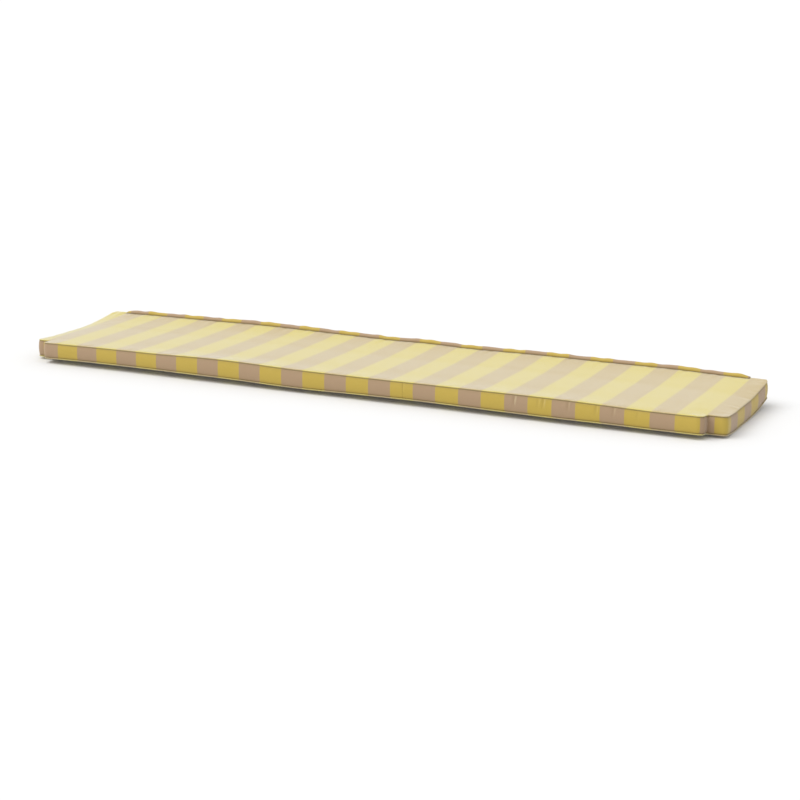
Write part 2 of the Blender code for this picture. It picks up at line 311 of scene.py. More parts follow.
# Threads of the seams: the inputs of their nodes, sides and rings of one, the turns that chance gives it
STITCH_INPUTS = {"Line": "Geometry", "Pitch": "Float", "Length": "Float", "Radius": "Float", "Seed": "Int"}
THREAD_SIDES = 5
THREAD_RINGS = 4
THREAD_LEAST = (-0.10, -0.10, 0.0)
THREAD_MOST = (0.10, 0.10, 3.14)
THREAD_SEED = 7
THREAD_ROUGHNESS = 0.6
THREAD_GRAIN = 900.0
THREAD_SHADES = (0.85, 1.15)

# Camera fitted to the cushion's own edges in the photograph
CAMERA_PLACE = (2.188, -4.572, 1.159)
CAMERA_YAW = 25.01
CAMERA_PITCH = 13.42
CAMERA_ROLL = -0.54
FOCAL_PIXELS = 1873.0
PICTURE_PIXELS = 800.0
SENSOR_WIDTH = 36.0
VIEW_END = 200.0
KEY_FROM = (-0.55, -0.55, 1.0)
FLOOR_SIZE = 80.0
FLOOR_DROP = 0.0003

# The boxing strip's stripes run on round the right end a little closer together than they were cut
END_STRIPE_START = 1.1065
END_STRIPE_FROM = 0.080
END_STRIPE_PACE = 0.981


def size_setting(name, description, default):
    return FloatProperty(name=name, description=description, default=default, unit="LENGTH")


def share_setting(name, description, default):
    return FloatProperty(name=name, description=description, default=default, subtype="FACTOR")


def colour_setting(name, description, default):
    return FloatVectorProperty(name=name, description=description, default=default, subtype="COLOR")


class CushionFormSettings(bpy.types.PropertyGroup):
    cage_along: size_setting("Cage along", "Spacing of the pad's mesh along its length", 0.0118)
    cage_across: size_setting("Cage across", "Spacing of the pad's mesh from front to back", 0.0125)
    band_step: size_setting("Band step", "Spacing of the bands' mesh along their length", 0.0025)
    pressure: FloatProperty(
        name="Filling pressure", description="Pressure that swells the top panel", default=4.0
    )
    ease: FloatProperty(
        name="Ease of the cloth", description="How much larger than its seams a panel is cut", default=0.012
    )
    largest_move: size_setting("Largest move", "How far the filling may move a point of the panel", 0.003)
    filling_room: size_setting("Room for the filling", "How far the panel starts below its height", 0.0042)
    fill: share_setting("Fill", "From 0, slack, to 1, tight", 0.7)
    gather_depth: size_setting("Gather depth", "Height of the small gathers beside the seams", 0.0009)
    gather_reach: size_setting("Gather reach", "How far the gathers run in from a seam", 0.026)


class CushionClothSettings(bpy.types.PropertyGroup):
    yellow: colour_setting("Yellow", "Colour of the boxing's yellow stripes", (0.475, 0.340, 0.051))
    beige: colour_setting("Beige", "Colour of the boxing's beige stripes", (0.368, 0.248, 0.145))
    # Painted light: the panels' stripes are the boxing's yarn colours painted lighter, standing in for the
    # stronger light on the top
    panel_yellow_painted_lighter: colour_setting("Panel yellow", "Yellow stripes of the panels", (0.562, 0.470, 0.121))
    panel_beige_painted_lighter: colour_setting("Panel beige", "Beige stripes of the panels", (0.470, 0.364, 0.174))
    stripe: size_setting("Stripe width", "Width of one stripe", 0.06516)
    first_edge: size_setting("First stripe edge", "Left edge of a yellow stripe", -0.9135)
    yarn: size_setting("Yarn pitch", "Distance between two yarns of the weave", 0.0009)
    roughness: share_setting("Roughness", "Roughness of the cloth", 0.8)
    panel_sheen: share_setting("Panel sheen", "Pale bloom of the panels seen along the surface", 1.0)
    boxing_sheen: share_setting("Boxing sheen", "Pale bloom of the boxing seen along the surface", 0.35)
    sheen_roughness: share_setting("Sheen roughness", "Spread of the sheen", 0.3)
    coat: share_setting("Finish", "Weight of the water-repellent finish on the yarn", 0.2)


class CushionSeamSettings(bpy.types.PropertyGroup):
    pitch: size_setting("Stitch pitch", "Distance from stitch to stitch", 0.0045)
    length: size_setting("Stitch length", "Length of thread that shows", 0.0034)
    thread: size_setting("Thread radius", "Half the thread's thickness", 0.0003)
    inset: size_setting("Stitch inset", "How far the thread lies in from the edge", 0.0010)
    depth: size_setting("Stitch depth", "How far the thread lies from the panel's edge", 0.0008)
    colour: colour_setting("Thread colour", "Colour of the sewing thread", (0.42, 0.33, 0.12))


class CushionStudioSettings(bpy.types.PropertyGroup):
    floor_colour: colour_setting("Floor colour", "Colour of the pale floor", (0.66, 0.66, 0.66))
    surround: FloatProperty(name="Surround", description="Strength of the light from all round", default=1.0)
    floor_glow: FloatProperty(
        name="Floor glow", description="Light added to the floor so that it stays pale", default=0.03
    )
    key_strength: FloatProperty(
        name="Key light", description="Strength of the broad light above", default=2.0
    )
    key_spread: FloatProperty(
        name="Key spread", description="Angle of the broad light", default=math.radians(50.0), subtype="ANGLE"
    )


def waves(table, place):
    """Sum of the sine waves in a table at places along the length."""
    return sum(height * np.sin(math.tau * place / length + phase) for length, height, phase in table)


def smooth_curve(before, here, there, beyond, share):
    """Place on a smooth curve through four others, at a share of the way from the second to the third."""
    bend = 2 * before - 5 * here + 4 * there - beyond
    twist = 3 * (here - there) + beyond - before
    return here + share * ((there - before) + share * (bend + share * twist)) / 2


def bell(place, middle=0.0, sharpness=1.0):
    """1 at a middle, falling to 0 on both sides of it."""
    return np.exp(-sharpness * (place - middle) ** 2)


def wander(table, place):
    """Rises of the top and bottom seams at places, on smooth curves through a table's rows."""
    rows = np.array(table)
    last = len(rows) - 1
    start = np.clip(np.searchsorted(rows[:, 0], place, side="right") - 1, 0, last - 1)
    share = np.clip((place - rows[start, 0]) / (rows[start + 1, 0] - rows[start, 0]), 0.0, 1.0)
    near = [rows[np.clip(start + step, 0, last)] for step in (-1, 0, 1, 2)]
    return [smooth_curve(*(row[..., column] for row in near), share) for column in (1, 2)]


def rounded(x, y):
    """Plan places of section points once the outward corners are turned to arcs."""
    plan_x, plan_y = np.abs(x), np.array(y, float)
    for corner_x, corner_y, facing in CORNERS:
        u = 1 - (corner_x - np.abs(x)) / CORNER_RADIUS
        v = 1 - (corner_y - y) * facing / CORNER_RADIUS
        near = (u > 0) & (u <= CORNER_MARGIN) & (v > 0) & (v <= CORNER_MARGIN)
        u, v = np.clip(u, 0, 1), np.clip(v, 0, 1)
        plan_x = np.where(near, corner_x - CORNER_RADIUS * (1 - u * np.sqrt(1 - v * v / 2)), plan_x)
        plan_y = np.where(near, corner_y - facing * CORNER_RADIUS * (1 - v * np.sqrt(1 - u * u / 2)), plan_y)
    return np.sign(x) * plan_x, plan_y


def roll(distance, height):
    """Quarter-round rise of a panel's edge."""
    short = 1 - np.minimum(distance / ROLL_WIDTH, 1.0)
    return height * np.sqrt(1 - short * short)


def lapped(x, y):
    """1 on the back edge where the back band laps over the pad, falling to 0 beyond its ends."""
    along = np.clip((TONGUE + FADE - np.abs(x)) / FADE, 0.0, 1.0)
    return np.where(y < DEPTH - EDGE_STEPS[-1], 0.0, along)


def notch_distance(x, y):
    """Distance from the notches' seams."""
    return np.hypot(np.maximum(TONGUE - np.abs(x), 0.0), np.maximum(y - NOTCH_DEEP, 0.0))


def back_distance(x, y):
    """Distance in from the back seam, or from the back band's foot where it laps over."""
    return DEPTH - y - RIDGE_WIDTH * lapped(x, np.full_like(x, DEPTH))


def seam_distance(x, y):
    """Distance in from the nearest seam of the top panel."""
    nearest = np.minimum(np.minimum(HALF - np.abs(x), y), np.maximum(0.0, back_distance(x, y)))
    return np.maximum(0.0, np.minimum(nearest, notch_distance(x, y)))


def filling_share(distance):
    """How freely the filling may move the top panel: 0 along its seams, 1 well inside."""
    return 1 - bell(distance / FREE_FROM)


def fullness(distance, shape):
    """How far the filling has risen at distances in from a seam, from 0 at the seam to 1."""
    reach, power = shape
    short = 1 - np.clip(distance / reach, 0.0, 1.0)
    return (1 - short**power) ** (1 / power)


def top_height(x, y):
    """Height of the top panel over section points, before the cushion settles."""
    rise = CROWN * fullness(y, FRONT_CURVE) * fullness(notch_distance(x, y), NOTCH_CURVE)
    rise = rise * fullness(back_distance(x, y), BACK_CURVE)
    return SEAM_TOP + ROLLED_EDGE + rise * fullness(HALF - np.abs(x), END_CURVE)


def bottom_height(x, y):
    distance = np.maximum(0.0, np.minimum(np.minimum(HALF - np.abs(x), y), DEPTH - y))
    edge = BOTTOM_ROLL + PAD_EDGE[-1][2] - EDGE_INSET
    return edge - roll(np.minimum(distance, notch_distance(x, y)), edge)


def settle(x, y, z, wave_share):
    """Final places: the front and back lifted as on a dished seat, the seams waving, the ends drawn in."""
    front = np.clip((FLAT_FROM - y) / FLAT_FROM, 0.0, None)
    back = np.clip((y - FLAT_TO) / (DEPTH - FLAT_TO), 0.0, None)
    lift = FRONT_LIFT * front**LIFT_POWER + BACK_LIFT * back**LIFT_POWER
    near_front = np.clip(1 - y / WAVE_REACH, 0.0, 1.0) ** 2
    near_back = np.clip(1 - (DEPTH - y) / WAVE_REACH, 0.0, 1.0) ** 2
    front_top, front_bottom = wander(FRONT_EDGE, x)
    back_top, back_bottom = wander(BACK_EDGE, x)
    wave_top = front_top * near_front + back_top * near_back
    wave_bottom = front_bottom * near_front + back_bottom * near_back
    bow = np.sin(math.pi * np.clip(y / DEPTH, 0.0, 1.0))
    draw = END_DRAW * bow * np.exp((np.abs(x) - HALF) / END_DRAW_REACH)
    return np.stack(
        (
            x - np.sign(x) * draw,
            y + waves(SWAY_WAVES, x) * (near_front - near_back) - DEPTH / 2,
            z + lift + wave_top * wave_share + wave_bottom * (1 - wave_share),
        ),
        axis=-1,
    )


def swell(share):
    """Outward bulge of the filled side at a share of the band's height."""
    return BULGE * (1 - (2 * share - 1) ** 2)


def spaced(start, stop, pitch):
    """Even places from start up to stop, stop left out."""
    count = max(1, round((stop - start) / pitch))
    return [start + (stop - start) * step / count for step in range(count)]


def section_places(along, across, extra=()):
    """Columns and rows of section points, close together beside the edges and the notches."""
    margin = EDGE_STEPS[-1]
    half = spaced(0.0, TONGUE - margin, along)
    half += [TONGUE - step for step in reversed(EDGE_STEPS)]
    half += spaced(TONGUE, HALF - margin, min(along, FADE))[1:]
    half += [HALF - step for step in reversed(EDGE_STEPS)]
    columns = sorted({-x for x in half} | set(half) | set(extra))
    rows = [*EDGE_STEPS]
    rows += spaced(margin, NOTCH_DEEP, across)[1:]
    rows += [NOTCH_DEEP + step for step in EDGE_STEPS]
    rows += spaced(NOTCH_DEEP + margin, DEPTH - margin, across)[1:]
    rows += [DEPTH - step for step in reversed(EDGE_STEPS)]
    return np.array(columns), np.array(rows)


class CushionEdge:
    """Section points round the cushion's edge, with their plan places, inward steps and boxing places."""

    def __init__(self, columns, rows):
        self.keys = self.walk(columns, rows)
        self.x = columns[[column for column, _ in self.keys]]
        self.y = rows[[row for _, row in self.keys]]
        self.plan = np.stack(rounded(self.x, self.y), axis=-1)
        self.inward = self.inward_steps()
        self.strip = self.strip_places()

    @staticmethod
    def walk(columns, rows):
        """Column and row numbers: along the front to the right, then round the back to the left end."""
        front = [c for c, x in enumerate(columns) if abs(x) <= TONGUE]
        shelf = [c for c, x in enumerate(columns) if TONGUE <= x < HALF]
        cheek = [r for r, y in enumerate(rows) if 0.0 < y < NOTCH_DEEP]
        end = [r for r, y in enumerate(rows) if NOTCH_DEEP <= y < DEPTH]
        ledge = end[0]
        last_column, last_row = len(columns) - 1, len(rows) - 1
        keys = [(c, 0) for c in front]
        keys += [(front[-1], r) for r in cheek]
        keys += [(c, ledge) for c in shelf]
        keys += [(last_column, r) for r in end]
        keys += [(c, last_row) for c in reversed(range(len(columns)))]
        keys += [(0, r) for r in reversed(end)]
        keys += [(c, ledge) for c in range(1, front[0] + 1)]
        keys += [(front[0], r) for r in reversed(cheek)]
        return keys

    def inward_steps(self):
        """Plan vectors that move each point one unit in from both its edges."""
        before = self.plan - np.roll(self.plan, 1, axis=0)
        before /= np.linalg.norm(before, axis=1, keepdims=True)
        after = np.roll(before, -1, axis=0)
        first = np.stack((-before[:, 1], before[:, 0]), axis=-1)
        second = np.stack((-after[:, 1], after[:, 0]), axis=-1)
        return (first + second) / (1 + (first * second).sum(axis=1, keepdims=True))

    def strip_places(self):
        """Places along the boxing strip, which starts from the middle of the front both ways round."""
        right = np.abs(self.x)
        end_start = TONGUE + NOTCH_DEEP + NOTCH_ALONG
        end_stop = END_STRIPE_START + (DEPTH - END_STRIPE_FROM) * END_STRIPE_PACE
        strip = np.where(self.y <= 0.0, right, TONGUE + self.y)
        on_shelf = (self.y >= NOTCH_DEEP) & (self.y < DEPTH)
        strip = np.where(on_shelf & (right < HALF), end_start - (HALF - right), strip)
        on_end = on_shelf & (right >= HALF)
        strip = np.where(on_end, END_STRIPE_START + (self.y - END_STRIPE_FROM) * END_STRIPE_PACE, strip)
        on_back = self.y >= DEPTH
        strip = np.where(on_back, np.where(right >= TONGUE, end_stop + HALF - right, right), strip)
        strip = np.sign(self.x) * strip
        return shifted(strip, strip, BAND_SHIFT)

    def find(self, x, y):
        """Number of the edge point nearest to a section point."""
        return int(np.argmin(np.hypot(self.x - x, self.y - y)))

    def run(self, first, last):
        """Numbers of the points from one to another, on round the edge."""
        count = len(self.x)
        return np.arange(first, last + 1 + (count if last < first else 0)) % count

    def placed(self, inset, height, wave_share, numbers=slice(None)):
        """Final places of points that stand in from the edge by their insets."""
        plan = self.plan[numbers, None, :] + self.inward[numbers, None, :] * inset[..., None]
        return settle(plan[..., 0], plan[..., 1], height, wave_share)


def placed_object(name, data):
    """A new object in the scene."""
    thing = bpy.data.objects.new(name, data)
    bpy.context.scene.collection.objects.link(thing)
    return thing


def mesh_object(name, points, faces, values):
    """A smooth-shaded object whose points carry named values, such as their places on the cloth."""
    used = np.unique(np.concatenate([np.ravel(face) for face in faces]))
    renumbered = np.zeros(len(points), int)
    renumbered[used] = np.arange(len(used))
    mesh = bpy.data.meshes.new(name)
    mesh.from_pydata(points[used].tolist(), [], [renumbered[np.array(face)].tolist() for face in faces])
    mesh.validate()
    for label, column in values.items():
        attribute = mesh.attributes.new(label, "FLOAT", "POINT")
        attribute.data.foreach_set("value", column[used].astype(np.float32))
    thing = placed_object(name, mesh)
    face_outwards(mesh)
    mesh.shade_smooth()
    return thing


def face_outwards(mesh):
    bm = bmesh.new()
    bm.from_mesh(mesh)
    bmesh.ops.recalc_face_normals(bm, faces=bm.faces)
    bm.to_mesh(mesh)
    bm.free()


def point_values(mesh, label):
    values = np.zeros(len(mesh.vertices), np.float32)
    mesh.attributes[label].data.foreach_get("value", values)
    return values.astype(float)


def point_places(mesh):
    places = np.zeros(len(mesh.vertices) * 3, np.float32)
    mesh.vertices.foreach_get("co", places)
    return places.reshape(-1, 3).astype(float)


def move_points(mesh, places):
    mesh.vertices.foreach_set("co", places.astype(np.float32).ravel())
    mesh.update()


def lay_cloth_map(mesh):
    """UV map of the cloth in metres, from the places that the points carry."""
    corners = np.zeros(len(mesh.loops), np.int32)
    mesh.loops.foreach_get("vertex_index", corners)
    u, v = point_values(mesh, "cloth_u"), point_values(mesh, "cloth_v")
    layer = mesh.uv_layers.new(name="cloth")
    layer.data.foreach_set("uv", np.stack((u[corners], v[corners]), axis=-1).astype(np.float32).ravel())


def finished(thing, material, nodes):
    """Give a piece its cloth, hang it on the body, and hide the frame's parts that it stands for."""
    thing.data.materials.clear()
    thing.data.materials.append(material)
    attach(thing, BODY)
    if nodes:
        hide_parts(*nodes)
    return thing


def grid_faces(columns, rows, offset, flip):
    """Quads of a panel, its notches left out."""
    faces = []
    for c in range(len(columns) - 1):
        inner = min(abs(columns[c]), abs(columns[c + 1]))
        for r in range(len(rows) - 1):
            if inner >= TONGUE and rows[r + 1] <= NOTCH_DEEP:
                continue
            first = offset + c * len(rows) + r
            quad = (first, first + len(rows), first + len(rows) + 1, first + 1)
            faces.append(quad[::-1] if flip else quad)
    return faces


def ring_faces(rings):
    """Quads between closed rings of point numbers."""
    faces = []
    for ring, following in zip(rings, rings[1:]):
        size = len(ring)
        for index in range(size):
            after = (index + 1) % size
            faces.append((ring[index], ring[after], following[after], following[index]))
    return faces


def run_back(y, height):
    """Places of a panel's points along its cloth from front to back, the same as in plan at its middle."""
    steps = np.hypot(np.diff(y, axis=1), np.diff(height, axis=1))
    along = np.concatenate((np.zeros((len(y), 1)), np.cumsum(steps, axis=1)), axis=1)
    middle = y.shape[1] // 2
    return along - along[:, middle : middle + 1] + y[:, middle : middle + 1]


def pad_cage(form):
    """The pad as its maker fills it: top panel, side and bottom panel in one closed mesh."""
    columns, rows = section_places(form.cage_along, form.cage_across)
    edge = CushionEdge(columns, rows)
    grid = np.meshgrid(columns, rows, indexing="ij")
    x, y = (part.ravel() for part in grid)
    numbers = np.array([c * len(rows) + r for c, r in edge.keys])
    points, places = [], []
    for top in (True, False):
        plan_x, plan_y = rounded(x, y)
        inset = np.full(len(numbers), EDGE_INSET)
        if top:
            inset = np.maximum(inset, RECESS * lapped(edge.x, edge.y))
        plan_x[numbers] += edge.inward[:, 0] * inset
        plan_y[numbers] += edge.inward[:, 1] * inset
        height = bottom_height(x, y)
        if top:
            height = top_height(x, y) - form.filling_room * filling_share(seam_distance(x, y))
        points.append(settle(plan_x, plan_y, height, 1.0 if top else 0.0))
        along = run_back(grid[1], height.reshape(grid[1].shape)).ravel()
        places.append(np.stack((stripe_place(plan_x, y), along), axis=-1))
    # Painted shade on the top panel in the crease at the foot of the back band's puffed edge
    shade_beside_ridge = np.exp(-np.abs(DEPTH - y - RIDGE_WIDTH) / PAD_SHADE) * lapped(x, np.full_like(x, DEPTH))
    seams = [shade_beside_ridge, np.zeros(len(x))]
    rings = [numbers]
    start = 2 * len(x)
    for share, inset, rise, shade in PAD_EDGE:
        insets = np.full(len(numbers), inset)
        if share == 0.0:
            insets = np.maximum(insets, RECESS * lapped(edge.x, edge.y))
        insets = (insets - swell(share))[:, None]
        height = np.full_like(insets, SEAM_TOP - BAND_HEIGHT * share + rise)
        points.append(edge.placed(insets, height, 1.0 - share)[:, 0])
        drop = ROLLED_EDGE - rise + BAND_HEIGHT * share
        down = places[0][numbers, 1] - np.sign(DEPTH / 2 - edge.y) * drop
        places.append(np.stack((places[0][numbers, 0], down), axis=-1))
        seams.append(np.full(len(numbers), shade))
        rings.append(start + np.arange(len(numbers)))
        start += len(numbers)
    rings.append(numbers + len(x))
    faces = grid_faces(columns, rows, 0, False) + grid_faces(columns, rows, len(x), True)
    faces += ring_faces(rings)
    below = np.zeros(start - len(x))
    values = {
        "cloth_u": np.concatenate(places)[:, 0],
        "cloth_v": np.concatenate(places)[:, 1],
        "seam": np.concatenate(seams),
        "fold": np.zeros(start),
        "top": np.concatenate((np.ones(len(x)), below)),
        "inside": np.concatenate((seam_distance(x, y), below)),
    }
    return mesh_object("cushion_pad", np.concatenate(points), faces, values)


def shifted(place, across, table):
    """Places across the cloth's stripes once a table's shifts are taken off."""
    rows = np.array(table)
    return place - np.interp(across, rows[:, 0], rows[:, 1])


def stripe_place(x, y):
    """Place across the cloth's stripes for a place on a panel, drawn sideways beside the back seam."""
    drawn = np.clip((y - TOP_BACK_FROM) / TOP_BACK_REACH, 0.0, 1.0) ** TOP_BACK_POWER
    return shifted(x, x, TOP_SHIFT) + drawn * shifted(0.0, x, TOP_BACK_SHIFT)


def swell_top(pad, form):
    """Let Cloth fill the top panel between its seams, and keep each point near where it was."""
    mesh = pad.data
    inside = point_values(mesh, "inside")
    held = (inside < HELD_BESIDE_SEAM) | (point_values(mesh, "top") < 0.5)
    group = pad.vertex_groups.new(name="held")
    group.add(np.flatnonzero(held).tolist(), 1.0, "REPLACE")
    start = point_places(mesh)
    cloth = pad.modifiers.new("filling", "CLOTH")
    cloth.settings.vertex_group_mass = group.name
    cloth.settings.use_pressure = True
    cloth.settings.uniform_pressure_force = form.pressure
    cloth.settings.shrink_min = -form.ease
    cloth.settings.effector_weights.gravity = 0.0
    cloth.collision_settings.use_collision = False
    scene = bpy.context.scene
    for number in range(SWELLING_FRAMES):
        scene.frame_set(number + 1)
    evaluated = pad.evaluated_get(bpy.context.evaluated_depsgraph_get())
    moved = point_places(evaluated.data) - start
    pad.modifiers.remove(cloth)
    pad.vertex_groups.clear()
    scene.frame_set(1)
    length = np.maximum(np.linalg.norm(moved, axis=1, keepdims=True), 1e-9)
    free = filling_share(inside)[:, None]
    move_points(mesh, start + moved * free * form.largest_move * np.tanh(length / form.largest_move) / length)


def gathers(place, near):
    """Height of the gathers at places along a seam, fading away from it."""
    return waves(GATHERS, place) * (1 + waves(GATHER_SWELLS, place)) * near


def gather_panel(mesh, form):
    """Draw the cloth up in small gathers where the top panel is sewn to the boxing."""
    places = point_places(mesh)
    x, y = places[:, 0], np.clip(places[:, 1] + DEPTH / 2, 0.0, DEPTH)
    from_back = np.maximum(DEPTH - y - RIDGE_WIDTH, 0.0)
    from_end = np.maximum(HALF - np.abs(x), 0.0)
    sides = (
        (FRONT_GATHER, x, 1.0, y),
        (BACK_GATHER, x, 1.0, from_back),
        (END_GATHER, y, np.sign(x), from_end),
    )
    rise = np.zeros(len(x))
    for (height, reach, offset), along, facing, distance in sides:
        rise += height * gathers(along + facing * offset, bell(distance / (reach * form.gather_reach)))
    clear = 1 - np.exp(-point_values(mesh, "inside") / GATHER_CLEAR)
    places[:, 2] += rise * form.gather_depth * clear * point_values(mesh, "top")
    move_points(mesh, places)


class CUSHION_OT_pad(bpy.types.Operator):
    """Make the filled pad: the top and bottom panels over their filling"""

    bl_idname = "cushion.pad"
    bl_label = "Filled pad"

    def execute(self, context):
        form = context.scene.cushion_form
        pad = pad_cage(form)
        swell_top(pad, form)
        finer = pad.modifiers.new("finer", "SUBSURF")
        finer.levels = finer.render_levels = 1
        smooth = bpy.data.meshes.new_from_object(pad.evaluated_get(context.evaluated_depsgraph_get()))
        pad.modifiers.clear()
        pad.data = smooth
        gather_panel(smooth, form)
        lay_cloth_map(smooth)
        smooth.shade_smooth()
        look = context.scene.cushion_cloth
        # The panels take the lighter copies of the stripe colours, painted light on the top
        cloth = striped_cloth(look, "panel_cloth", look.panel_yellow_painted_lighter, look.panel_beige_painted_lighter, look.panel_sheen)
        finished(pad, cloth, ["filled_pad"])
        return {"FINISHED"}


def folds(edge, numbers, share):
    """Folds pressed down the front band: their depth, and the painted highlight on their crests or, below 0,
    the painted shade in their grooves.
    """
    x, front = edge.x[numbers], edge.y[numbers] <= 0.0
    depth, tone = np.zeros(len(x)), np.zeros(len(x))
    hanging = (1 - math.exp(-share / FOLD_START)) * max(0.0, 1 - share / FOLD_REACH) ** FOLD_FADE
    for place, deep, half, pale in PUCKERS:
        off = (x - place - FOLD_LEAN * half * share) / half
        depth += deep * sum(part * bell(off, middle, sharp) for part, middle, sharp in FOLD_SECTION)
        # Painted highlight on the crest, painted shade in the groove
        tone += pale * bell(off, *CREST) - deep / DARKEST_FOLD * bell(off, *GROOVE)
    return np.where(front, depth * hanging, 0.0), np.where(front, tone * hanging, 0.0)


def puff(x):
    """How far the back band's upper edge puffs up, as a share of its full height."""
    inside = np.clip((TONGUE - np.abs(x)) / RIDGE_TAPER, 0.0, 1.0)
    return (RIDGE_END + (1 - RIDGE_END) * np.sqrt(inside)) * (1 + waves(SCALLOPS, x))


def band_face_inset(edge, numbers, share, form):
    """Inset of a band's outer face at a share of its height."""
    strip = edge.strip[numbers]
    from_edge = min(share, 1 - share) * BAND_HEIGHT
    short = 1 - min(from_edge / BAND_EDGE_ROLL, 1.0)
    thickness = BAND_EDGE_THICKNESS + (BAND_THICKNESS - BAND_EDGE_THICKNESS) * math.sqrt(1 - short * short)
    gather = 0.0
    for place, distance in zip(BOXING_GATHER_PLACES, (share, 1 - share)):
        gather = gather + gathers(strip + place, bell(distance * BAND_HEIGHT / BOXING_GATHER_REACH))
    gather = gather * BOXING_GATHER * form.gather_depth * (1 - short)
    return RECESS - GAP - thickness - swell(share) + gather


def band_sections(edge, numbers, form, laps_over):
    """Closed sections of a band: inset, height, share of the seam's wave and painted light and shade of the
    folds.
    """
    x = edge.x[numbers]
    ones = np.ones(len(x))
    corners = []
    if laps_over:
        ripple = 1 + RIDGE_RIPPLE * waves(RIDGE_GATHERS, x)
        rise = RIDGE_HEIGHT * puff(x) * ripple - RIDGE_FOOT
        for part, share in RIDGE_FACE:
            corners.append((part * RIDGE_WIDTH * ones, SEAM_TOP + RIDGE_FOOT + rise * share, ones, 0 * ones))
    tall = BAND_HEIGHT - 2 * BAND_EDGE_DROP
    for share in BAND_LEVELS:
        if laps_over and share < LAPPED_LEVEL:
            continue
        height = (SEAM_TOP - BAND_EDGE_DROP - tall * share) * ones
        depth, tone = folds(edge, numbers, share)
        inset = band_face_inset(edge, numbers, share, form) + depth
        corners.append((inset, height, (1 - share) * ones, tone))
    for share in BACKING_LEVELS:
        height = (SEAM_TOP - BAND_EDGE_DROP - tall * share) * ones
        corners.append(((RECESS - GAP - swell(share)) * ones, height, (1 - share) * ones, 0 * ones))
    if laps_over:
        under = (SEAM_TOP + ROLLED_EDGE + GAP + LAP_CLEARANCE) * ones
        for part in RIDGE_UNDER:
            corners.append((part * RIDGE_WIDTH * ones, under, ones, 0 * ones))
    return np.array(corners).transpose(2, 0, 1)


def smoothed(sections, cuts):
    """More points on smooth curves through the corners of closed sections."""
    before, after, beyond = (np.roll(sections, step, axis=1) for step in (1, -1, -2))
    fine = [smooth_curve(before, sections, after, beyond, cut / cuts) for cut in range(cuts)]
    return np.stack(fine, axis=2).reshape(len(sections), -1, sections.shape[2])


def make_band(name, edge, numbers, trims, form, laps_over=False):
    """One strip of boxing along its edge points, trimmed at both ends to part it from the next."""
    sections = band_sections(edge, numbers, form, laps_over)
    if laps_over:
        sections = smoothed(sections, RIDGE_CUTS)
    points = edge.placed(sections[..., 0], sections[..., 1], sections[..., 2], numbers)
    points[0, :, 0] += trims[0]
    points[-1, :, 0] += trims[1]
    along, size = points.shape[:2]
    x = edge.x[numbers]
    strip = np.repeat(shifted(x, x, BACK_BAND_SHIFT) if laps_over else edge.strip[numbers], size)
    height = sections[..., 1].ravel()
    # Painted shade in the creases along the top and bottom seams, and at the foot of the back band's puffed
    # edge
    upper, reach = (SEAM_TOP + RIDGE_FOOT, BACK_SHADE) if laps_over else (SEAM_TOP, BOXING_SHADE)
    seams = np.exp(-np.minimum(np.abs(height - upper), np.abs(height - BOTTOM_ROLL)) / reach)
    fold_light_and_shade = sections[..., 3].ravel()
    values = {
        "cloth_u": strip,
        "cloth_v": height,
        "seam": np.maximum(seams, -GROOVE_SHADE * fold_light_and_shade),
        # Painted highlight on the folds' crests
        "fold": fold_light_and_shade.clip(min=0.0),
    }
    rings = np.arange(along * size).reshape(along, size)
    faces = ring_faces(rings.tolist()) + [tuple(rings[0].tolist()), tuple(rings[-1].tolist()[::-1])]
    band = mesh_object(name, points.reshape(-1, 3), faces, values)
    lay_cloth_map(band.data)
    length = float(np.linalg.norm(np.diff(edge.plan[numbers], axis=0), axis=1).sum())
    return band, length


class CUSHION_OT_boxing(bpy.types.Operator):
    """Make the three strips of boxing that join the panels"""

    bl_idname = "cushion.boxing"
    bl_label = "Boxing bands"

    def execute(self, context):
        form = context.scene.cushion_form
        columns, rows = section_places(form.band_step, form.band_step, extra=(FRONT_JOIN,))
        edge = CushionEdge(columns, rows)
        join, right, left = edge.find(FRONT_JOIN, 0.0), edge.find(TONGUE, DEPTH), edge.find(-TONGUE, DEPTH)
        half_gap = GAP / 2
        look = context.scene.cushion_cloth
        cloth = striped_cloth(look, "boxing_cloth", look.yellow, look.beige, look.boxing_sheen)
        runs = (
            ("boxing_right", "band_right", edge.run(join, right), (half_gap, half_gap), False),
            ("boxing_back", "band_back", edge.run(right, left), (-half_gap, half_gap), True),
            ("boxing_left", "band_left", edge.run(left, join), (-half_gap, -half_gap), False),
        )
        for name, node, numbers, trims, laps_over in runs:
            band, length = make_band(name, edge, numbers, trims, form, laps_over)
            finished(band, cloth, [node])
        return {"FINISHED"}


